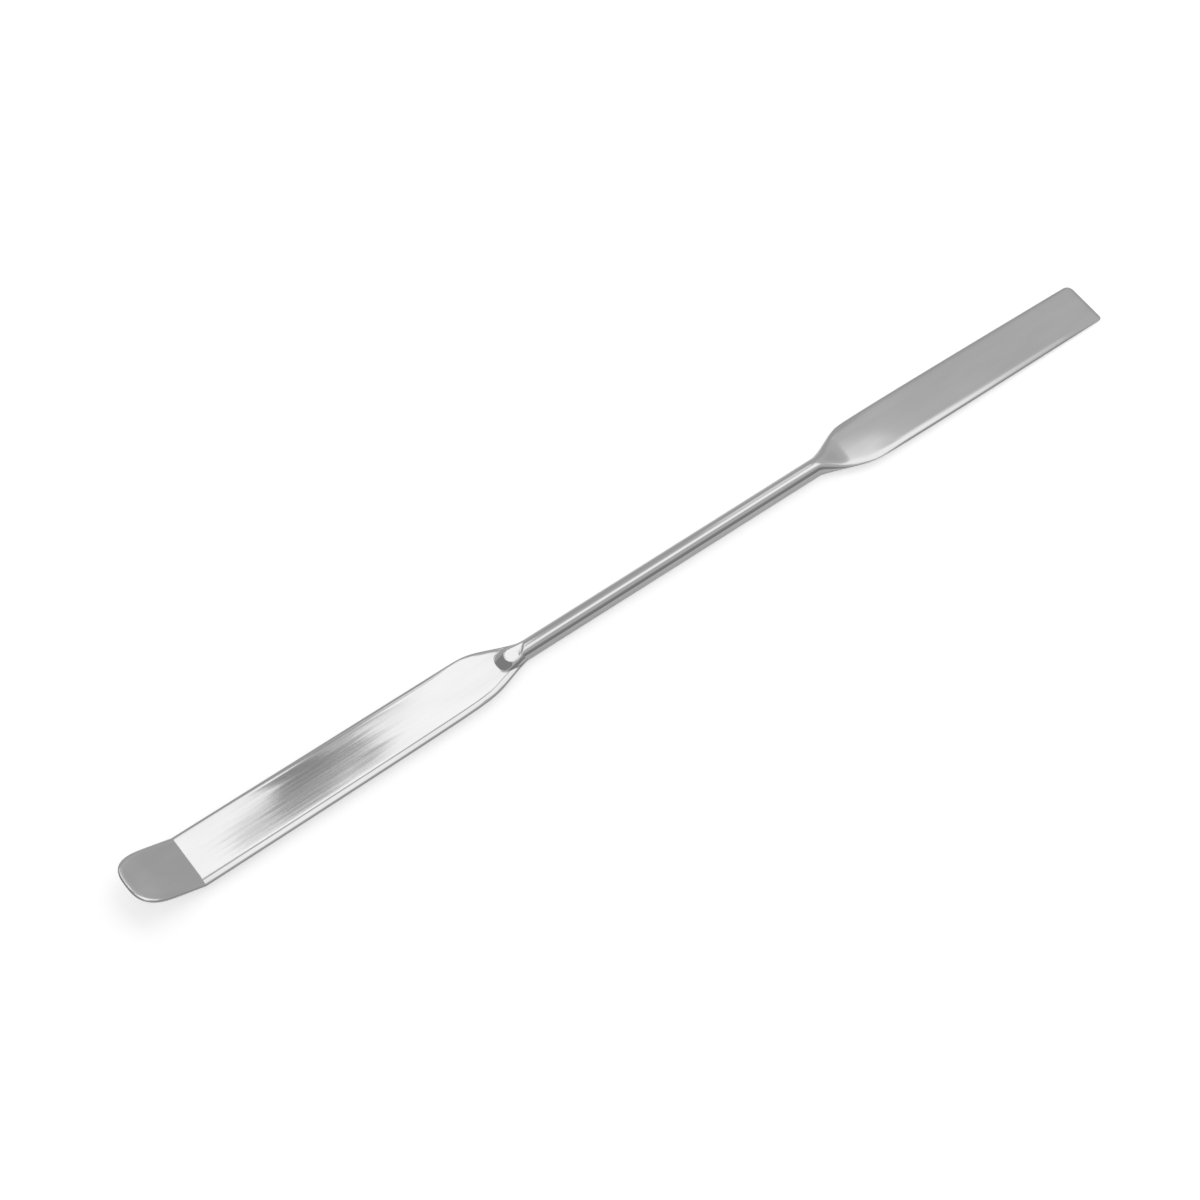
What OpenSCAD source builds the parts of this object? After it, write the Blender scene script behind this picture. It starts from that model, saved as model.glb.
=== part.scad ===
// Double-ended laboratory spatula, forged in one piece from a round rod of
// stainless steel and polished. The rod lies along X with its underside on the
// bench at z = 0. The bent round tip points to -X and the square end to +X.

/* [Whole tool] */
// Overall length, from the bent tip to the square end
overall_len = 200; // [170:1:240]
// Diameter of the round rod
rod_d = 3.3; // [2.6:0.05:4]
// Thickness of both blades
blade_thk = 0.9; // [0.6:0.05:1.2]
// Width over which the edges of both blades are rolled off
edge_roll = 1.2; // [0.6:0.1:1.8]

/* [Long blade] */
// Length from the rod's end to the tip, seen from above
long_len = 76.7; // [60:0.1:95]
// Full width, which the blade reaches at the crease
long_w = 10.5; // [8:0.05:12.5]
// How much narrower the near edge starts at the shoulder
long_near_waist = 0.85; // [0:0.05:1.4]
// How much narrower the far edge starts there
long_far_waist = 0.12; // [0:0.02:1]
// Length over which the rod spreads to the blade's width
long_flare = 10; // [7:0.5:14]
// How far before the rod's end its sides start to spread
long_lead = 1; // [0:0.1:3]
// Height of the blade's middle plane above the rod's axis
long_lift = 0.2; // [0:0.05:0.4]
// Length of the rod's rounded nose, which stands up from the blade
nose_len = 5.7; // [4:0.1:7]
// Depth of the step down from the rod to the nose's flat, above and below
nose_step = 0.25; // [0.05:0.01:0.3]
// Slope of that flat towards the blade
nose_slope = 2; // [0:0.5:6]

/* [Bent tip] */
// Length from the crease to the tip, along the bent part
tip_len = 12.2; // [9:0.1:18]
// Angle by which the tip is bent up
tip_bend = 24; // [5:1:40]
// Length over which the end of the tip is rounded
tip_round = 7.1; // [4:0.1:9]
// How full the rounding is: 2 is an ellipse and 4 is nearly square
tip_fullness = 2.9; // [2:0.1:4]
// How far the far side of the tip reaches past the near side
tip_skew = 0.2; // [0:0.05:1]

/* [Square blade] */
// Length from the rod's end to the square end, seen from above
square_len = 60.9; // [45:0.1:75]
// Width at the shoulder
square_shoulder_w = 9.62; // [8:0.02:12]
// Width at the square end
square_end_w = 9.2; // [7:0.05:12]
// How far each edge bows out between the shoulder and the end
square_belly = 0.15; // [0:0.01:0.3]
// How far the blade stands towards the near side of the rod
square_shift = 0.19; // [0:0.01:0.4]
// Length over which the rod's far side spreads to the blade's width
square_far_flare = 8.5; // [7:0.5:14]
// Length over which its near side spreads
square_near_flare = 11; // [7:0.5:14]
// Length over which the rod's height falls to the blade's faces
fan_len = 8.5; // [6:0.5:12]
// Radius of the square end's far corner
far_corner = 1.3; // [0.4:0.1:1.8]
// Radius of its near corner
near_corner = 0.7; // [0.4:0.1:1.8]
// Length over which the top face is ground down to the square end
grind_len = 9; // [4:0.5:14]
// Height of steel left above the blade's middle plane at the square end
end_rise = 0.15; // [0.05:0.05:0.3]

/* [Hidden] */
rod_r = rod_d / 2;
rod_z = rod_r; // the rod lies on the bench
half_thk = blade_thk / 2;
long_root_x = long_len - overall_len / 2;
square_root_x = overall_len / 2 - square_len;
square_lead = 0.5; // how far before the rod's end the square blade's sides spread
rod_len = square_root_x - square_lead - long_root_x;
crease_u = long_len - tip_len * cos(tip_bend);
long_end = crease_u + tip_len; // along the blade, with the bend laid flat
// The square blade leans down until its underside meets the bench at the end
lean = asin((rod_r - half_thk) / (square_len - edge_roll));
square_end = square_len / cos(lean);
root_depth = 1; // how deep each blade's root sits in the rod
root_gap = 0.04; // and how much slimmer than the rod it is there
edge_land = 0.12; // share of the thickness left at the very edge
roll_steps = 5; // facets round each quarter of an edge
roll_share = 0.95; // most of a narrow half section that its edge may take up
far_side = 1;
near_side = -1;
$fn = 96;

function clamp(v, low, high) = min(max(v, low), high);
function mix(a, b, t) = a + (b - a) * t;

// How a forged shoulder spreads, from 0 at the rod to 1 at full width. The more
// its ease is, the later it spreads.
function spread(t, ease) = sin(90 * pow(clamp(t, 0, 1), ease));

// How a face falls from one height to another with no break at either end
function fall(t) = let (s = clamp(t, 0, 1)) 1 - s * s * (3 - 2 * s);

// Share of the half thickness left at a distance in from the edge
function rolled(d) =
    let (s = clamp(d / edge_roll, 0, 1))
    max(edge_land, sqrt(1 - (1 - s) * (1 - s)));

// Places across a blade at which its section is drawn, far edge first: round
// both rolled edges, and evenly over the flat between them
function across(far, near, flat_steps) =
    let (
        far_roll = min(edge_roll, far * roll_share),
        near_roll = min(edge_roll, near * roll_share),
        far_flat = far - far_roll,
        near_flat = near_roll - near
    )
    concat(
        [for (i = [0:roll_steps]) far_flat + far_roll * cos(90 * i / roll_steps)],
        [for (i = [1:flat_steps - 1]) mix(far_flat, near_flat, i / flat_steps)],
        [for (i = [roll_steps:-1:0]) near_flat - near_roll * cos(90 * i / roll_steps)]
    );

// A closed skin over rings of equally many points, which each run over the top
// of the blade from its far edge and back underneath. Each end is closed by a
// ladder of triangles between the top and the underside.
module skin(rings) {
    count = len(rings[0]);
    half = count / 2;
    start = (len(rings) - 1) * count;
    ladder = concat(
        [for (i = [0:half - 2]) [i, i + 1, count - i - 1]],
        [for (i = [1:half - 1]) [i, count - i - 1, count - i]]
    );
    polyhedron(
        points = [for (ring = rings) each ring],
        faces = concat(
            ladder,
            [
                for (r = [0:len(rings) - 2], i = [0:count - 1])
                    let (a = r * count + i, b = r * count + (i + 1) % count)
                    each [[a, b + count, b], [a, a + count, b + count]]
            ],
            [for (t = ladder) [start + t[2], start + t[1], start + t[0]]]
        )
    );
}

// ---- Long blade: u runs from the rod's end along the blade ----

// Half width of the long blade on one side, before its end is rounded
long_ease = 1.4;
waist_ease = 0.45; // the edges fill out fast at first, then slowly
function long_side(u, side) =
    let (
        along = (u + long_lead) / (long_flare + long_lead),
        grown = pow(clamp((u - long_flare) / (crease_u - long_flare), 0, 1), waist_ease),
        waist = (side == near_side ? long_near_waist : long_far_waist) * (1 - grown)
    )
    mix(rod_r - root_gap, long_w / 2 - waist, spread(along, long_ease));

// How far into the rounded end a place is: 0 where it starts and 1 at the tip
function into_round(u) = clamp((u - long_end + tip_round) / tip_round, 0, 1);

function long_half(u, side) =
    long_side(u, side) * pow(1 - pow(into_round(u), tip_fullness), 1 / tip_fullness);

// Distance in from the long blade's outline
function long_inset(u, y) =
    let (w = long_side(u, y > 0 ? far_side : near_side), n = tip_fullness)
    w * (1 - pow(pow(abs(y) / w, n) + pow(into_round(u), n), 1 / n));

// A point of the long blade, with its tip bent up about the crease. At the
// crease itself the section leans by half the bend.
function bent(u, y, z) =
    let (
        past = u - crease_u,
        reach = past + tip_skew * y / long_w * clamp(past / tip_len, 0, 1)
    )
    past < -0.001 ? [u, y, z] :
    past < 0.001 ? [u - z * tan(tip_bend / 2), y, z] :
    [
        crease_u + reach * cos(tip_bend) - z * sin(tip_bend),
        y,
        reach * sin(tip_bend) + z * cos(tip_bend)
    ];

function long_ring(u) =
    let (
        ys = across(long_half(u, far_side), long_half(u, near_side), 2),
        last = len(ys) - 1,
        zs = [
            for (i = [0:last])
                i == 0 || i == last ? 0 : half_thk * rolled(long_inset(u, ys[i]))
        ]
    )
    concat(
        [for (i = [0:last]) bent(u, ys[i], zs[i])],
        [for (i = [last - 1:-1:1]) bent(u, ys[i], -zs[i])]
    );

shoulder_steps = 14;
long_steps = 10;
round_steps = 12;
last_section = 88; // degrees round the tip at which the last section stands
long_stations = concat(
    [-long_lead - root_depth],
    [for (i = [0:shoulder_steps]) mix(-long_lead, long_flare, i / shoulder_steps)],
    [for (i = [1:long_steps - 1]) mix(long_flare, crease_u, pow(i / long_steps, 1.5))],
    [crease_u - 0.3, crease_u, crease_u + 0.3],
    [
        for (i = [0:round_steps])
            long_end - tip_round
                + tip_round * pow(sin(last_section * i / round_steps), 2 / tip_fullness)
    ]
);

module long_blade() {
    translate([0, 0, long_lift])
        skin([for (u = long_stations) long_ring(u)]);
}

// ---- Square blade: u runs from the rod's end along the blade ----

far_ease = 1.5;
near_ease = 1.15;
belly_ease = 0.6; // brings the widest place nearer to the shoulder
function square_side(u, side) =
    let (
        flare = side == far_side ? square_far_flare : square_near_flare,
        ease = side == far_side ? far_ease : near_ease,
        tapered = clamp((u - flare) / (square_end - flare), 0, 1),
        bow = square_belly * sin(180 * pow(tapered, belly_ease)),
        full = mix(square_shoulder_w, square_end_w, tapered) / 2 + bow
    )
    mix(rod_r - root_gap, full - side * square_shift,
        spread((u + square_lead) / (flare + square_lead), ease));

function corner(side) = side == far_side ? far_corner : near_corner;

// How far into a corner's radius a place is, along the blade
function into_corner(u, r) = clamp(u - square_end + r, 0, r);

function square_half(u, side) =
    let (r = corner(side), past = into_corner(u, r))
    square_side(u, side) - r + sqrt(r * r - past * past);

// Distance in from the square blade's outline
function square_inset(u, y) =
    let (
        side = y > 0 ? far_side : near_side,
        w = square_side(u, side),
        r = corner(side),
        along = into_corner(u, r),
        past = abs(y) - w + r
    )
    along > 0 && past > 0 ? r - norm([along, past]) :
    min(w - abs(y), square_end - u);

// Height of the round rod as it sinks into the blade. It widens with the
// blade, so that the shoulder opens like a fan.
fan_foot = 0.85; // share of the blade's half thickness at which it ends
function fan_top(u, y) =
    let (
        w = square_side(u, y > 0 ? far_side : near_side),
        height = mix(half_thk * fan_foot, rod_r - root_gap, fall(u / fan_len))
    )
    u > fan_len ? 0 : height * sqrt(max(0, 1 - y * y / (w * w)));

// Depth ground off the top face towards the square end
function ground(u) =
    (half_thk - end_rise) * pow(clamp((u - square_end + grind_len) / grind_len, 0, 1), 2);

function square_ring(u) =
    let (
        ys = across(square_half(u, far_side), square_half(u, near_side), 8),
        last = len(ys) - 1,
        tops = [
            for (y = ys)
                max((half_thk - ground(u)) * rolled(square_inset(u, y)), fan_top(u, y))
        ],
        unders = [for (y = ys) max(half_thk * rolled(square_inset(u, y)), fan_top(u, y))]
    )
    concat(
        [for (i = [0:last]) [u, ys[i], i == 0 || i == last ? 0 : tops[i]]],
        [for (i = [last - 1:-1:1]) [u, ys[i], -unders[i]]]
    );

square_steps = 9;
grind_steps = 6;
corner_steps = 4;
flare_end = max(square_far_flare, square_near_flare);
square_stations = concat(
    [-square_lead - root_depth],
    [for (i = [0:shoulder_steps]) mix(-square_lead, flare_end, i / shoulder_steps)],
    [
        for (i = [1:square_steps])
            mix(flare_end, square_end - grind_len, i / square_steps)
    ],
    [
        for (i = [1:grind_steps])
            square_end - edge_roll - (grind_len - edge_roll) * (1 - i / grind_steps)
    ],
    [
        for (i = [1:corner_steps])
            square_end - edge_roll * (1 - sin(90 * i / corner_steps))
    ]
);

module square_blade() {
    skin([for (u = square_stations) square_ring(u)]);
}

// ---- The whole tool ----

// The rod, with a rounded nose that stands up from the long blade. It is turned
// by half a facet, so that it lies steady on one of them.
nose_steps = 24;
module turned_rod() {
    rotate([0, -90, 0])
        rotate([0, 0, 180 / $fn])
        rotate_extrude()
        polygon(concat(
            [[0, nose_len], [0, -rod_len], [rod_r, -rod_len]],
            [
                for (i = [0:nose_steps - 1])
                    let (a = 90 * i / nose_steps)
                    [rod_r * cos(a), nose_len * sin(a)]
            ]
        ));
}

// What the flat on top of the nose takes off
module nose_flat() {
    start_z = rod_r - nose_step;
    end_z = start_z - nose_len * tan(nose_slope);
    rotate([90, 0, 0])
        linear_extrude(height = 2 * rod_d, center = true)
        polygon([[0, rod_d], [0, start_z], [-nose_len, end_z], [-nose_len, rod_d]]);
}

module rod() {
    translate([long_root_x, 0, 0])
        difference() {
            turned_rod();
            nose_flat();
            mirror([0, 0, 1]) nose_flat();
        }
}

module spatula() {
    color([0.78, 0.79, 0.8])
        translate([0, 0, rod_z]) {
            rod();
            translate([long_root_x, 0, 0]) mirror([1, 0, 0]) long_blade();
            translate([square_root_x, 0, 0]) rotate([0, lean, 0]) square_blade();
        }
}

spatula();
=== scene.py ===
import math

import bmesh
import bpy
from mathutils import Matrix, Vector


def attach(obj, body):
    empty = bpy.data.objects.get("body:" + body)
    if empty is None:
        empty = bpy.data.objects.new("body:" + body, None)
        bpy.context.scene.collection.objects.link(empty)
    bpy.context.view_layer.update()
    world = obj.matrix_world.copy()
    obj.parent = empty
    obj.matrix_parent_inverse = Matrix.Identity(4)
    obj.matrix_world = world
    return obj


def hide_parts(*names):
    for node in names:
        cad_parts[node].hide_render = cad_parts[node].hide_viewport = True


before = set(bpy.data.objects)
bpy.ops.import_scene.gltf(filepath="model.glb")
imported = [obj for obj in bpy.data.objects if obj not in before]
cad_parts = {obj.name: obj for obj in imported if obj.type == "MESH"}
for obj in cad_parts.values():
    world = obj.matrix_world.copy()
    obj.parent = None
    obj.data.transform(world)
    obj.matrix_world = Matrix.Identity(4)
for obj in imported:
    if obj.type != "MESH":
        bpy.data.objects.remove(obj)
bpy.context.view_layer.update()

# ---- Camera ----
# It looks down on the tool from the near side of the long blade, through a long
# lens. The long blade is low on the left of the view, and the square blade is high
# on the right.
camera_data = bpy.data.cameras.new("camera")
camera_data.lens = 92.94
camera_data.sensor_width = 36
camera_data.clip_start = 0.01
camera = bpy.data.objects.new("camera", camera_data)
camera.location = (-0.165616, -0.215057, 0.447061)
camera.rotation_euler = (math.radians(31), 0, math.radians(-36.34))
bpy.context.scene.collection.objects.link(camera)
bpy.context.scene.camera = camera
bpy.context.scene.view_settings.view_transform = "Standard"

# ---- Spatula ----
# The whole tool is one piece of stainless steel. A round rod is forged flat at
# both ends. The long blade's round tip is then bent up, the square end is ground
# thinner, and everything is polished along its length.

# Sizes are in millimetres. The rod's middle line is at y = 0 and z = 0 until the
# tool is laid on the bench. Where a size changes along a blade, a pair of numbers
# says where the change starts and where it is complete.
mm = 0.001
near_side, far_side = -1, 1
rod_r = 1.65
half_thick = 0.45
edge_roll = 1.2
root_gap = 0.04  # how far inside the rod's side a blade starts

long_root = -23.3
long_lift = 0.2
long_half_w = 5.25
waist = {near_side: 0.85, far_side: 0.12}
waist_ease = 0.45
flare, flare_lead, flare_ease = 10.0, 1.0, 1.4
far_roll_share, far_roll_change = 0.45, (17, 11)

crease_at = -88.855
tip_len = 12.2
tip_end = crease_at - tip_len
tip_bend = math.radians(24)
tip_round = 7.1
tip_fullness = 2.9
tip_skew = 0.2
tip_edge_roll = 0.5
tip_thin, tip_thin_len = 0.68, 6

square_root = 39.1
square_end = 100.012
square_len = square_end - square_root
square_lean = math.radians(1.152)
shoulder_w, end_w = 9.62, 9.2
belly, belly_ease = 0.15, 0.6
square_shift = 0.19
square_lead = 0.5
square_flare = {near_side: (11.0, 1.15), far_side: (8.5, 1.5)}  # length and ease
corner_r = {near_side: 0.7, far_side: 1.3}
corner_fade = 5
grind_len, grind_depth = 9, 0.3

# Each ring of the bar has corners all round. They are counted from the middle of
# the top or of the underside to each side, so that the last one of a quarter
# stands on the tool's edge.
columns = 48
quarter = columns // 4


def clamp(t):
    return min(max(t, 0.0), 1.0)


def mix(a, b, t):
    return a + (b - a) * t


def smooth(t):
    t = clamp(t)
    return t * t * (3 - 2 * t)


def change(u, start, end):
    """Goes smoothly from 0 at start to 1 at end, which may be the lower of them."""
    return smooth((u - start) / (end - start))


def spread(t, ease):
    """How far a forged shoulder has spread, from 0 at the rod to 1 at full width."""
    return math.sin(math.pi / 2 * clamp(t) ** ease)


def rolled(inset, roll=edge_roll):
    """Share of the half thickness left at a distance in from a rolled edge."""
    s = clamp(inset / roll)
    return math.sqrt(1 - (1 - s) ** 2)


def round_off(q, n):
    """Height of a rounded end, from 1 in the middle to 0 at its sides."""
    return max(0.0, 1 - abs(q) ** n) ** (1 / n)


def turned(share):
    """The angle of a share of a quarter turn."""
    return math.pi / 2 * share


# A straight bar is extruded, with a ring of corners at each place along it that
# is worked later. Rings stand close together at the ends, creases and shoulders.
# The rings of the tip and those that wrap round the nose are curved, so each has
# its reach in the middle and its reach at the sides.
tip_rings = [
    (0, 7.1), (0.04, 7.16), (0.14, 7.24), (0.3, 7.34), (0.52, 7.46), (0.8, 7.6),
    (1.15, 7.78), (1.6, 8.0), (2.2, 8.3), (3.1, 8.75), (4.4, 9.35), (6.2, 10.1),
    (8.2, 10.9), (10.2, 11.6), (11.6, 11.85), (12.02, 12.02), (12.2, 12.2),
    (12.38, 12.38),
]
plain_long = [-88.2, -87.2, -85, -81, -76, -70, -64, -58, -52, -47, -43, -40, -38.2]
nose_ease = [
    (12.8, 12.2), (11.4, 10.4), (10.2, 8.8), (9.2, 7.5), (8.3, 6.4), (7.5, 5.5),
    (6.8, 4.75), (6.2, 4.1), (5.75, 3.6), (5.45, 3.2),
]
nose_slope = [1, 0.93, 0.8, 0.6, 0.4, 0.2, 0.07, 0, -0.1]
nose_flat = [1.75, 1.45, 1.1, 0.75, 0.4, 0.12]
before_nose = [-0.1, -0.4, -0.8, -1.4]
plain_rod = [-20, -14, -6, 2, 10, 18, 26, 33, 36, 37.4]
fan = [
    -0.9, -0.4, 0, 0.4, 0.9, 1.4, 2, 2.6, 3.2, 3.9, 4.6, 5.3, 6, 6.8, 7.6, 8.5,
    9.5, 10.6, 12, 13.5, 15.2, 17.5,
]
plain_square = [21, 26, 31, 36, 41, 46, 50, 52.5]
end_insets = [6.2, 4.6, 3.4, 2.6, 2.0, 1.55, 1.2, 0.9, 0.62, 0.38, 0.18, 0.05, 0]

nose_start = 2.0
nose_foot_run = 3.25

places = []  # what is worked at each ring, which ring of it, and where it stands
places += [("tip", i, tip_end + r[0]) for i, r in enumerate(tip_rings)]
places += [("long", x, x) for x in plain_long]
places += [("ease", i, long_root - r[0]) for i, r in enumerate(nose_ease)]
places += [("slope", t, long_root - nose_start - nose_foot_run * t) for t in nose_slope]
places += [("flat", u, long_root - u) for u in nose_flat]
places += [("before", u, long_root - u) for u in before_nose]
places += [("rod", x, x) for x in plain_rod]
places += [("fan", u, square_root + u) for u in fan]
places += [("square", u, square_root + u) for u in plain_square]
places += [("end", d, square_end - d) for d in end_insets]
stations = [station for work, which, station in places]

bpy.ops.object.select_all(action="DESELECT")
bpy.ops.mesh.primitive_circle_add(
    vertices=columns, radius=rod_r * mm, location=(stations[0] * mm, 0, 0),
    rotation=(0, math.radians(90), 0),
)
spatula = bpy.context.object
spatula.name = "spatula_steel"
bpy.ops.object.transform_apply(location=True, rotation=True, scale=True)
bpy.ops.object.mode_set(mode="EDIT")
bpy.ops.mesh.select_all(action="SELECT")
for here, there in zip(stations, stations[1:]):
    bpy.ops.mesh.extrude_region_move(
        TRANSFORM_OT_translate={"value": ((there - here) * mm, 0, 0)}
    )

bar = bmesh.from_edit_mesh(spatula.data)
corner_of = {}
for corner in bar.verts:
    ring = min(range(len(stations)), key=lambda i: abs(corner.co.x / mm - stations[i]))
    column = round(math.degrees(math.atan2(-corner.co.y, corner.co.z)) * columns / 360)
    corner_of[ring, column % columns] = corner


def draw(corner, x, y, z):
    """Draws one corner of the bar to its place."""
    bpy.ops.mesh.select_all(action="DESELECT")
    corner.select = True
    bpy.ops.transform.translate(value=Vector((x, y, z)) * mm - corner.co)


# In what follows, u is the distance from a blade's root towards its end, w the
# blade's half width there, face 1 for the top and -1 for the underside, and j the
# corner's number in its quarter.


# The long blade
def long_side(u, side):
    """Half width of the long blade on one side."""
    grown = clamp((u - flare) / (long_root - crease_at - flare)) ** waist_ease
    full = long_half_w - waist[side] * (1 - grown)
    along = (u + flare_lead) / (flare + flare_lead)
    return mix(rod_r - root_gap, full, spread(along, flare_ease))


def long_z(face, inset, u, side):
    """Height of the long blade's face. The far edge is rolled less beside the nose."""
    roll = edge_roll
    if side == far_side:
        roll *= mix(1, far_roll_share, change(u, *far_roll_change))
    return long_lift + face * half_thick * rolled(inset, roll)


def long_corner(x, side, face, j):
    u = long_root - x
    w = long_side(u, side)
    y = w * math.sin(turned(j / quarter))
    return x, side * y, long_z(face, w - y, u, side)


# The tip is thinner than the blade at its rim, and its rings follow its rounding.
def tip_corner(i, side, face, j):
    front, edge = tip_rings[i]
    q = math.sin(turned(j / quarter))
    reach = mix(edge, front, round_off(q, tip_fullness))
    y = side * long_half_w * q
    t = clamp((tip_round - reach) / tip_round)
    outward = (q**tip_fullness + t**tip_fullness) ** (1 / tip_fullness)
    skewed = tip_skew * y / (2 * long_half_w) * (tip_len - reach) / tip_len
    roll = mix(tip_edge_roll, edge_roll, change(reach, 0, tip_len))
    thick = half_thick * mix(tip_thin, 1, change(reach, 0, tip_thin_len))
    z = long_lift + face * thick * rolled(long_half_w * (1 - outward), roll)
    return tip_end + reach - skewed, y, z


# The nose is the end of the rod, spread a little and pressed flat on top. Its
# corners up to flat_columns lie on the flat, those up to foot_column go down its
# side to the blade, and the rest cross the thin wing of blade beside it.
flat_columns, foot_column = 4, 9
side_columns = foot_column - flat_columns
wing_columns = quarter - foot_column
nose_flat_z, nose_flat_fall = 1.42, 0.035
nose_flat_len = 1.6
nose_half_w, nose_swell = 2.2, (-0.6, 2.6)
nose_side_run = 0.9
nose_blunt = 2.4
foot_guess, foot_turns = 0.9, 6
wing_insets = [(0.62, 0.4), (0.17, 0.12), (0, 0)]  # at most, and share of the wing


def nose_top(u):
    """Height of the nose's flat, which falls a little towards the blade."""
    return nose_flat_z - nose_flat_fall * max(u, 0)


def nose_section(u, side, face):
    """Half width of the spread rod, and the angle at which its side meets the blade."""
    w = long_side(u, side)
    wide = mix(rod_r, nose_half_w, change(u, *nose_swell))
    foot_y = foot_guess * wide
    for _ in range(foot_turns):
        foot_z = face * long_lift + half_thick * rolled(w - foot_y)
        foot_y = wide * math.sqrt(1 - (foot_z / rod_r) ** 2)
    return wide, math.acos(foot_z / rod_r)


def wing_inset(j, span):
    """How far in from the blade's edge a corner of the wing stands."""
    most, share = wing_insets[j - foot_column - 1]
    return min(most, share * span)


def wing_corner(u, side, face, j, foot_y):
    w = long_side(u, side)
    inset = wing_inset(j, w - foot_y)
    return long_root - u, side * (w - inset), long_z(face, inset, u, side)


# The step from the rod down to the flat slants a little across the tool.
step_slant = 1.2
flat_step_at, flat_step_skew = 0.12, 0.8
rod_step_at, rod_step_skew = 0.1, 0.9


def flat_corner(u, side, face, j):
    wide, foot_angle = nose_section(u, side, face)
    if j > foot_column:
        return wing_corner(u, side, face, j, wide * math.sin(foot_angle))
    flat_angle = math.acos(nose_top(u) / rod_r)
    slant = side * clamp(1 - (u - flat_step_at) / step_slant)
    if j <= flat_columns:
        y = wide * math.sin(flat_angle) * j / flat_columns
        return long_root - u + slant * y, side * y, face * nose_top(u)
    down = (j - flat_columns) / side_columns
    angle = mix(flat_angle, foot_angle, down)
    x = long_root - u + slant * flat_step_skew * (1 - down)
    return x, side * wide * math.sin(angle), face * rod_r * math.cos(angle)


def slope_corner(t, side, face, j):
    """The nose's rounded front, where t goes from 0 at the flat's rim to 1 at the foot.

    One ring stands just inside the flat, at less than 0, and keeps its rim crisp.
    """
    side_u = nose_start + nose_side_run * t
    inside, t = max(0.0, -t), max(0.0, t)
    wide, foot_angle = nose_section(side_u, side, face)
    if j > foot_column:
        return wing_corner(side_u, side, face, j, wide * math.sin(foot_angle))
    around = turned(mix(min(1, j / flat_columns), j / foot_column, t))
    forward = math.cos(around) ** (2 / nose_blunt)
    sideways = math.sin(around) ** (2 / nose_blunt)
    rim_u = nose_start + nose_flat_len * forward
    flat_angle = math.acos(nose_top(max(side_u, rim_u)) / rod_r)
    front_foot = math.acos((face * long_lift + half_thick) / rod_r)
    foot = mix(front_foot, foot_angle, smooth(math.sin(around) ** 2))
    start = clamp((j - flat_columns) / side_columns)
    angle = mix(flat_angle, foot, 1 - (1 - start) * (1 - t))
    fallen = math.sin(angle) - math.sin(flat_angle)
    down = fallen / (math.sin(foot) - math.sin(flat_angle))
    reach = nose_start + mix(nose_flat_len, nose_foot_run, down)
    u = side_u + (reach - side_u) * forward
    y = wide * math.sin(angle) * sideways
    if inside and j <= flat_columns:
        u = mix(u, side_u, inside)
        return long_root - u, side * y * (1 - inside), face * nose_top(u)
    return long_root - u, side * y, face * rod_r * math.cos(angle)


def ease_corner(i, side, face, j):
    """Rings of the blade that wrap round the nose's foot and straighten beyond it."""
    front, side_u = nose_ease[i]
    at_nose = 1 - smooth((len(nose_ease) - i) / (len(nose_ease) + 1))
    wide, foot_angle = nose_section(nose_start + nose_side_run, side, face)
    foot_y = wide * math.sin(foot_angle)
    w = long_side(side_u, side)
    around = turned(min(1, j / foot_column))
    across = turned(j / quarter)
    nose_y = foot_y * math.sin(around) ** (2 / nose_blunt)
    if j > foot_column:
        nose_y = w - wing_inset(j, w - foot_y)
    y = mix(w * math.sin(across), nose_y, at_nose)
    forward = mix(math.cos(across), math.cos(around) ** (2 / nose_blunt), at_nose)
    u = side_u + (front - side_u) * forward
    return long_root - u, side * y, long_z(face, long_side(u, side) - y, u, side)


# Just before the nose the rod keeps its round, and the blade's wings start on it.
wing_shares = [0.4, 0.8, 1]
wing_thin = 0.9


def before_corner(u, side, face, j):
    angle = turned(j / quarter)
    y = rod_r * math.sin(angle)
    z = face * rod_r * math.cos(angle)
    skew = min(y, rod_step_skew)
    if j > foot_column:
        skew = rod_step_skew * (quarter - j) / wing_columns
        share = wing_shares[j - foot_column - 1]
        wing = long_side(u, side) - rod_r
        if wing > 0:
            y += wing * share
            z = mix(z, mix(long_lift, z, wing_thin), share)
    slant = side * clamp(1 - (-u - rod_step_at) / step_slant)
    return long_root - u + slant * skew, side * y, z


# The square blade
def square_side(u, side):
    """Half width of the square blade on one side."""
    length, ease = square_flare[side]
    tapered = clamp((u - length) / (square_len - length))
    bow = belly * math.sin(math.pi * tapered**belly_ease)
    full = mix(shoulder_w, end_w, tapered) / 2 + bow - side * square_shift
    along = (u + square_lead) / (length + square_lead)
    return mix(rod_r - root_gap, full, spread(along, ease))


def ground_top(to_end):
    """Half thickness of the top, ground thinner towards the square end."""
    return half_thick - grind_depth * clamp((grind_len - to_end) / grind_len) ** 2


# The square blade's shoulder is a fan. Below, the rod's round runs out under the
# blade, which eases into it. The top is struck down steeply, then runs level with
# its ridge on the far side, and droops from there to both edges.
under_thin, under_blend = 0.85, 8
round_grows, slab_grows = (8.5, 0), (-0.4, 1.2)
strike_depth, strike_grows = 1.0, (5.4, -1.2)
crown, crown_grows = 0.2, (15, 3)
ridge_most, ridge_share, ridge_grows = 3.2, 0.75, (1, 4)
droop_near = (0.37, 2.3, (16.5, 8.5))  # depth, ease, and where it grows
droop_far = (0.36, 1.3, (15, 7))
flat_grows = (0, 6)


def fan_under(u, w, y, angle):
    height = mix(half_thick * under_thin, rod_r, change(u, *round_grows))
    slab = half_thick * rolled(w - y) * change(u, *slab_grows)
    both = (height * math.cos(angle)) ** under_blend + slab**under_blend
    return -(both ** (1 / under_blend))


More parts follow.
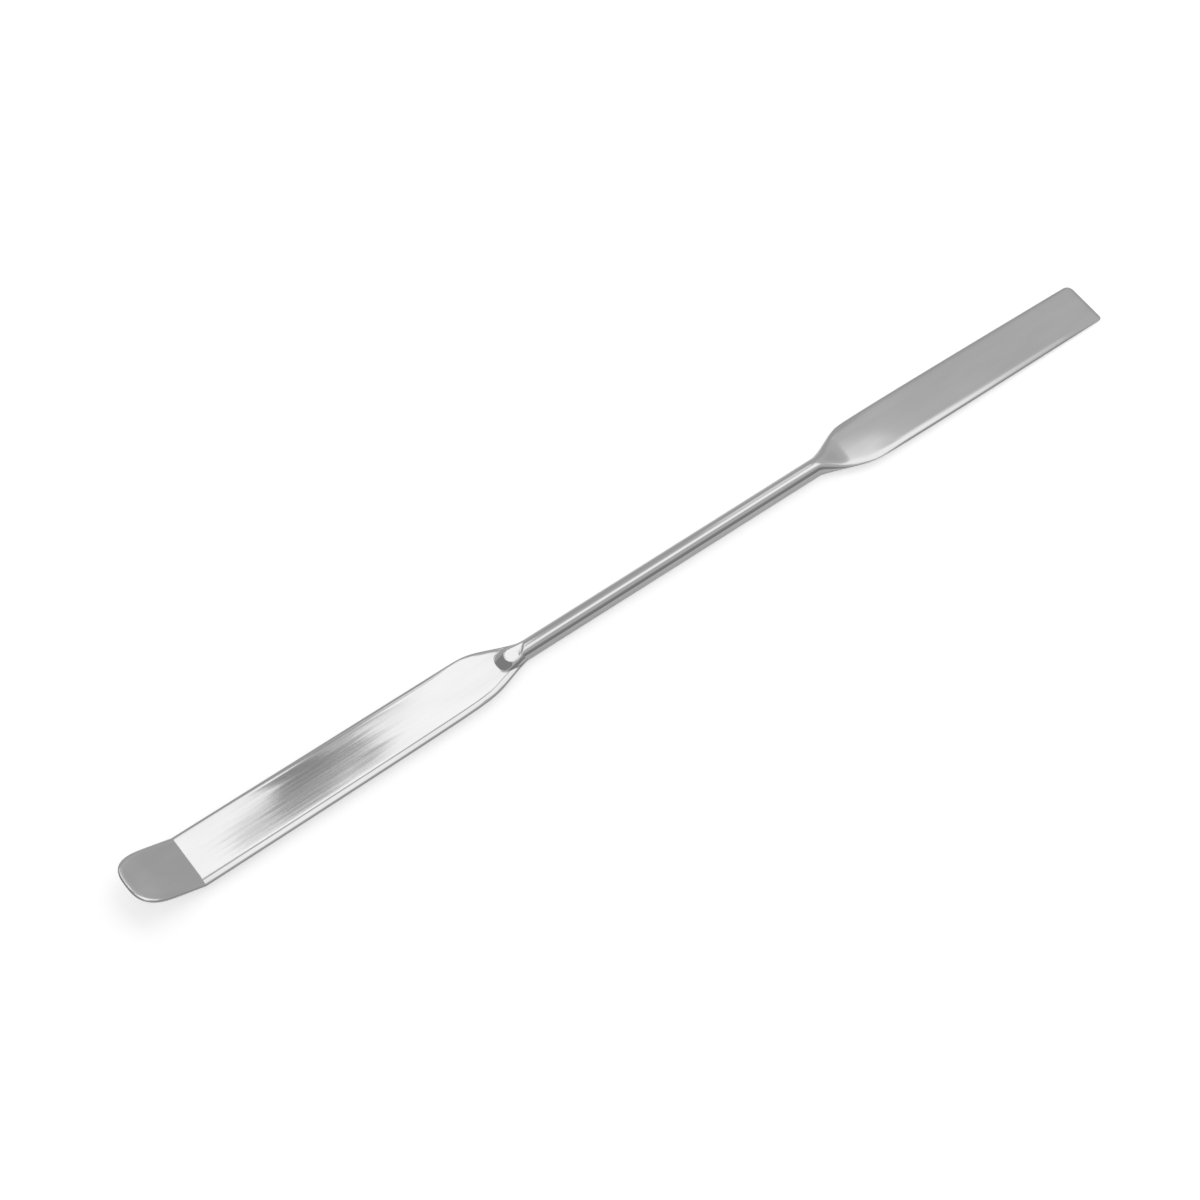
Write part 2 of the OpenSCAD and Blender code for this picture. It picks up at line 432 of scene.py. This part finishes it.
def fan_top(u, w, y, side, angle):
    height = half_thick + crown * change(u, *crown_grows)
    height += strike_depth * change(u, *strike_grows)
    ridge = min(ridge_most, ridge_share * square_side(u, far_side))
    ridge *= change(u, *ridge_grows)
    if side * y < ridge:
        q = (ridge - side * y) / (square_side(u, near_side) + ridge)
        depth, ease, grows = droop_near
    else:
        q = (side * y - ridge) / (square_side(u, far_side) - ridge)
        depth, ease, grows = droop_far
    droop = depth * q**ease * change(u, *grows)
    drooped = (height - droop) * rolled(w - y)
    return mix(height * math.cos(angle), drooped, change(u, *flat_grows))


def fan_corner(u, side, face, j):
    w = max(square_side(u, side), rod_r if u < 0 else 0)
    angle = turned(j / quarter)
    y = w * math.sin(angle)
    z = fan_top(u, w, y, side, angle) if face > 0 else fan_under(u, w, y, angle)
    return square_root + u, side * y, z


def square_corner(u, side, face, j):
    w = square_side(u, side)
    y = w * math.sin(turned(j / quarter))
    top = ground_top(square_len - u) if face > 0 else half_thick
    return square_root + u, side * y, face * top * rolled(w - y)


def end_corner(d, side, face, j):
    """Rings near the square end, which curve round its corners."""
    w = square_side(square_len - d, side)
    r = corner_r[side]
    y = w * math.sin(turned(j / quarter))
    past = max(0.0, y - w + r)
    pull = r - math.sqrt(max(0.0, r * r - past * past))
    reach = d + pull * clamp(1 - d / corner_fade)
    along = max(0.0, r - reach)
    if along > 0 and past > 0:
        inset = max(0.0, r - math.hypot(along, past))
    else:
        inset = min(w - y, reach)
    top = ground_top(reach) if face > 0 else half_thick
    return square_end - reach, side * y, face * top * rolled(inset)


# The tool's edge climbs from the rod's middle to the long blade's at its root.
edge_climb = (long_root + 0.8, long_root - 1)

corner_at = {
    "tip": tip_corner, "long": long_corner, "ease": ease_corner, "slope": slope_corner,
    "flat": flat_corner, "before": before_corner, "fan": fan_corner,
    "square": square_corner, "end": end_corner,
}
for ring, (work, which, station) in enumerate(places):
    if work == "rod":
        continue
    for column in range(columns):
        side = near_side if column < columns // 2 else far_side
        from_top = min(column, columns - column)
        face = 1 if from_top <= quarter else -1
        j = from_top if face > 0 else 2 * quarter - from_top
        x, y, z = corner_at[work](which, side, face, j)
        if j == quarter:
            z = long_lift * change(station, *edge_climb)
        draw(corner_of[ring, column], x, y, z)

# The mouths at both ends are closed along their edges.
mouth_gap = 0.002
bpy.ops.mesh.select_all(action="SELECT")
bpy.ops.mesh.remove_doubles(threshold=mouth_gap * mm)

# The tip is bent up at the crease, and the square blade leans down to the bench.
past_crease, before_root = crease_at - 0.05, square_root - 0.2
bar = bmesh.from_edit_mesh(spatula.data)
bpy.ops.mesh.select_all(action="DESELECT")
for corner in bar.verts:
    corner.select = corner.co.x < past_crease * mm
bpy.ops.transform.rotate(
    value=-tip_bend, orient_axis="Y",
    center_override=(crease_at * mm, 0, long_lift * mm),
)
bpy.ops.mesh.select_all(action="DESELECT")
for corner in bar.verts:
    corner.select = corner.co.x > before_root * mm
bpy.ops.transform.rotate(
    value=-square_lean, orient_axis="Y",
    center_override=(square_root * mm, 0, 0),
)
bpy.ops.mesh.select_all(action="SELECT")
bpy.ops.transform.translate(value=(0, 0, rod_r * mm))
bpy.ops.mesh.normals_make_consistent(inside=False)
bpy.ops.object.mode_set(mode="OBJECT")

finer = spatula.modifiers.new("finer", "SUBSURF")
finer.levels = 2
finer.render_levels = 2
bpy.ops.object.modifier_apply(modifier=finer.name)
bpy.ops.object.shade_smooth()

# The finish. Places along the tool are in metres here, as Object coordinates are.
polish_rough = (0.05, 0.08)
square_dull, square_dull_from = 0.055, (0.037, 0.042)
shoulder_dull, shoulder_dull_to = 0.9, (0.048, 0.06)
broad_grey, dimple_grey = (0.563, 0.582), (-0.01, 0.03)
swing_along, swing_across = (-0.007, 0.007), (-0.0015, 0.0015)
line_strength, line_depth = 0.25, 0.004

steel = bpy.data.materials.new("polished_steel")
steel.use_nodes = True
nodes, links = steel.node_tree.nodes, steel.node_tree.links
shader = nodes["Principled BSDF"]
shader.inputs["Metallic"].default_value = 1
place = nodes.new("ShaderNodeTexCoord")


def polish_marks(along, across, detail, rough=0.6):
    """Noise drawn out along the tool, with the number of marks per metre each way."""
    stretch = nodes.new("ShaderNodeMapping")
    stretch.inputs["Scale"].default_value = (along, across, across)
    links.new(place.outputs["Object"], stretch.inputs["Vector"])
    noise = nodes.new("ShaderNodeTexNoise")
    noise.inputs["Scale"].default_value = 1
    noise.inputs["Detail"].default_value = detail
    noise.inputs["Roughness"].default_value = rough
    links.new(stretch.outputs["Vector"], noise.inputs["Vector"])
    return noise.outputs["Fac"]


def ranged(value, low, high, start=0.3, end=0.7):
    """Turns a value between start and end, as noise is, into one from low to high."""
    fit = nodes.new("ShaderNodeMapRange")
    fit.inputs["From Min"].default_value = start
    fit.inputs["From Max"].default_value = end
    fit.inputs["To Min"].default_value = low
    fit.inputs["To Max"].default_value = high
    links.new(value, fit.inputs["Value"])
    return fit.outputs["Result"]


def math_node(tree, kind, *values):
    """Adds a Math node to a tree. Each value is a number or another node's output."""
    node = tree.nodes.new("ShaderNodeMath")
    node.operation = kind
    for socket, value in zip(node.inputs, values):
        if isinstance(value, (int, float)):
            socket.default_value = value
        else:
            tree.links.new(value, socket)
    return node.outputs[0]


def in_steel(kind, *values):
    return math_node(steel.node_tree, kind, *values)


fine = polish_marks(along=25, across=2600, detail=3)
broad = polish_marks(along=18, across=420, detail=4)
sway = polish_marks(along=9, across=700, detail=3, rough=0.7)
dimple = polish_marks(along=60, across=160, detail=2)

# The square blade is less bright than the rest, and its shoulder least of all.
split = nodes.new("ShaderNodeSeparateXYZ")
links.new(place.outputs["Object"], split.inputs["Vector"])
on_square = ranged(split.outputs["X"], 0, square_dull, *square_dull_from)
on_shoulder = ranged(split.outputs["X"], 1, 0, *shoulder_dull_to)
extra = in_steel("ADD", 1, in_steel("MULTIPLY", on_shoulder, shoulder_dull))
dulled = in_steel("MULTIPLY", on_square, extra)
rough = in_steel("ADD", ranged(fine, *polish_rough), dulled)
links.new(rough, shader.inputs["Roughness"])

grey = in_steel("ADD", ranged(broad, *broad_grey), ranged(dimple, *dimple_grey))
tone = nodes.new("ShaderNodeCombineColor")
for channel in ("Red", "Green", "Blue"):
    links.new(grey, tone.inputs[channel])
links.new(tone.outputs["Color"], shader.inputs["Base Color"])

# The face swings a very little up and down along the tool from mark to mark.
facing = nodes.new("ShaderNodeNewGeometry")
swing = nodes.new("ShaderNodeCombineXYZ")
links.new(ranged(sway, *swing_along), swing.inputs["X"])
links.new(ranged(broad, *swing_across), swing.inputs["Y"])
swung = nodes.new("ShaderNodeVectorMath")
swung.operation = "ADD"
links.new(facing.outputs["Normal"], swung.inputs[0])
links.new(swing.outputs["Vector"], swung.inputs[1])
straight = nodes.new("ShaderNodeVectorMath")
straight.operation = "NORMALIZE"
links.new(swung.outputs["Vector"], straight.inputs[0])
relief = nodes.new("ShaderNodeBump")
relief.inputs["Strength"].default_value = line_strength
relief.inputs["Distance"].default_value = line_depth * mm
links.new(fine, relief.inputs["Height"])
links.new(straight.outputs["Vector"], relief.inputs["Normal"])
links.new(relief.outputs["Normal"], shader.inputs["Normal"])
spatula.data.materials.append(steel)

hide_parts("spatula")
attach(spatula, "root")

# ---- Floor ----
# A plain white sheet, big enough to fill the view from any side. It shows white to
# the camera and in the steel, and still takes the tool's soft shadow.
sheet_size = 6
sheet_white, sheet_rough = (0.85, 0.85, 0.85, 1), 0.9
glow_to_camera, glow_in_steel = 0.56, 0.14
bpy.ops.object.select_all(action="DESELECT")
bpy.ops.mesh.primitive_plane_add(size=sheet_size, location=(0, 0, 0))
floor = bpy.context.object
floor.name = "floor"
white = bpy.data.materials.new("white_sheet")
white.use_nodes = True
sheet = white.node_tree
paper = sheet.nodes["Principled BSDF"]
paper.inputs["Base Color"].default_value = sheet_white
paper.inputs["Roughness"].default_value = sheet_rough
paper.inputs["Emission Color"].default_value = (1, 1, 1, 1)
ray = sheet.nodes.new("ShaderNodeLightPath")
glossy = math_node(sheet, "MULTIPLY", ray.outputs["Is Glossy Ray"], glow_in_steel)
seen = ray.outputs["Is Camera Ray"]
glow = math_node(sheet, "MULTIPLY_ADD", seen, glow_to_camera, glossy)
sheet.links.new(glow, paper.inputs["Emission Strength"])
floor.data.materials.append(white)

# ---- Light ----
# Soft boxes hang level over the bench in a pale grey room. The room is darker low
# down in front, where the bench's user stands, which draws the rod's dark line.
# Grey cards hung over the long blade break up what it shows of the boxes.
box_height = 0.6
above_boxes, below_boxes, patch_height = 0.61, 0.592, 0.595


def soft_box(name, x_span, y_span, glare, turn=0):
    """A lamp that adds its glare, evenly, to what the room shows behind it."""
    lamp = bpy.data.lights.new(name, "AREA")
    lamp.shape = "RECTANGLE"
    lamp.size, lamp.size_y = x_span[1] - x_span[0], y_span[1] - y_span[0]
    lamp.energy = math.pi * lamp.size * lamp.size_y * glare
    hung = bpy.data.objects.new(name, lamp)
    hung.location = (sum(x_span) / 2, sum(y_span) / 2, box_height)
    hung.rotation_euler = (0, 0, math.radians(turn))
    hung.visible_camera = False
    bpy.context.scene.collection.objects.link(hung)


front_y = (-0.217, 0.17)
soft_box("soft_box_back", (-0.0066, 0.2034), (0.2396, 0.7596), 0.87, turn=-9.3)
soft_box("soft_box_front", (0.0, 0.405), front_y, 0.74)
soft_box("soft_box_left", (0.06, 0.155), front_y, 0.22)
soft_box("soft_box_end", (0.405, 0.45), front_y, 0.26)
soft_box("soft_box_side", (0.33, 0.41), (0.1, 0.255), 0.5)
soft_box("soft_box_strip", (0.3, 0.362), (0.25, 0.71), 0.42, turn=-11.3)


def flag(name, x_span, y_span, height, level):
    """A grey card hung over the tool, seen only in the steel."""
    bpy.ops.object.select_all(action="DESELECT")
    bpy.ops.mesh.primitive_plane_add(size=1)
    card = bpy.context.object
    card.name = name
    card.scale = (x_span[1] - x_span[0], y_span[1] - y_span[0], 1)
    card.location = (sum(x_span) / 2, sum(y_span) / 2, height)
    matt = bpy.data.materials.new(name)
    matt.use_nodes = True
    matt.node_tree.nodes.clear()
    shine = matt.node_tree.nodes.new("ShaderNodeEmission")
    shine.inputs["Strength"].default_value = level
    surface = matt.node_tree.nodes.new("ShaderNodeOutputMaterial")
    matt.node_tree.links.new(shine.outputs[0], surface.inputs["Surface"])
    card.data.materials.append(matt)
    card.visible_camera = False


flag("card_left", (-0.75, -0.05), (-0.45, 0.75), above_boxes, 0.34)
flag("card_front", (0.16, 0.285), (-0.23, -0.135), below_boxes, 0.6)

# Small cards: where each one shows on the long blade, in millimetres along it and
# across it, and how bright it is. Those far past the blade show in its rolled edge.
patch = [
    (-71.5, -61, 3.1, 40, 0.38), (-61, -53, 3.8, 40, 0.66), (-53, -43, 4.0, 8, 0.8),
    (-72, -59, 1.5, 3.1, 0.32), (-59, -55, 1.5, 3.4, 0.7), (-73, -54.5, 0.3, 1.5, 0.36),
    (-72, -53, -0.7, 0.3, 0.37), (-75, -52.5, -1.6, -0.7, 0.36),
    (-73, -51, -2.5, -1.6, 0.38), (-75, -61, -3.4, -2.5, 0.42),
    (-57.5, -53, -3.2, -2.5, 0.42), (-81, -72.5, -3.6, -1.2, 0.68),
    (-79, -73, -1.2, 0.4, 0.95), (-73, -64, -4.4, -3.4, 0.6),
    (-57, -40, 72, 210, 0.45), (-40, -27, 72, 210, 0.75), (-61, -53, 40, 72, 0.5),
    (-53, -46, 8, 72, 0.78),
]
# The blade mirrors a spot of the small cards' level at this scale and offset.
seen_scale, seen_x, seen_y = 2.33, 221.3, 287.4
for number, (x0, x1, y0, y1, level) in enumerate(patch):
    flag(
        "card_%02d" % number,
        ((seen_scale * x0 + seen_x) * mm, (seen_scale * x1 + seen_x) * mm),
        ((seen_scale * y0 + seen_y) * mm, (seen_scale * y1 + seen_y) * mm),
        patch_height, level,
    )

# The room. Its shades start and are complete at parts of a unit direction.
room_grey = 0.65
user_dark, square_dark, back_dark = 0.34, 0.1, 0.11
world = bpy.data.worlds.new("room")
bpy.context.scene.world = world
world.use_nodes = True
room = world.node_tree
toward = room.nodes.new("ShaderNodeTexCoord")
parts = room.nodes.new("ShaderNodeSeparateXYZ")
room.links.new(toward.outputs["Generated"], parts.inputs["Vector"])
room_x, room_y, room_z = parts.outputs


def room_change(value, start, end):
    """Goes smoothly from 0 where the value is start to 1 where it is end."""
    ramp = room.nodes.new("ShaderNodeMapRange")
    ramp.interpolation_type = "SMOOTHSTEP"
    ramp.inputs["From Min"].default_value = start
    ramp.inputs["From Max"].default_value = end
    room.links.new(value, ramp.inputs["Value"])
    return ramp.outputs["Result"]


def in_room(kind, *values):
    return math_node(room, kind, *values)


in_front = room_change(room_y, -0.45, -0.75)
behind_tip = room_change(room_x, -0.45, -0.7)
not_high, not_level = room_change(room_z, 0.72, 0.5), room_change(room_z, 0.02, 0.1)
low = in_room("MULTIPLY", not_high, not_level)
user = in_room("MULTIPLY", in_room("MAXIMUM", in_front, behind_tip), low)
past_square = in_room("MULTIPLY", room_change(room_x, 0.66, 0.76), square_dark)
at_back = in_room("MULTIPLY", room_change(room_y, 0.45, 0.75), back_dark)
darkened = in_room("SUBTRACT", room_grey, in_room("MULTIPLY", user, user_dark))
room_glow = in_room("SUBTRACT", darkened, in_room("MAXIMUM", past_square, at_back))
backdrop = room.nodes["Background"]
backdrop.inputs["Color"].default_value = (1, 1, 1, 1)
room.links.new(room_glow, backdrop.inputs["Strength"])
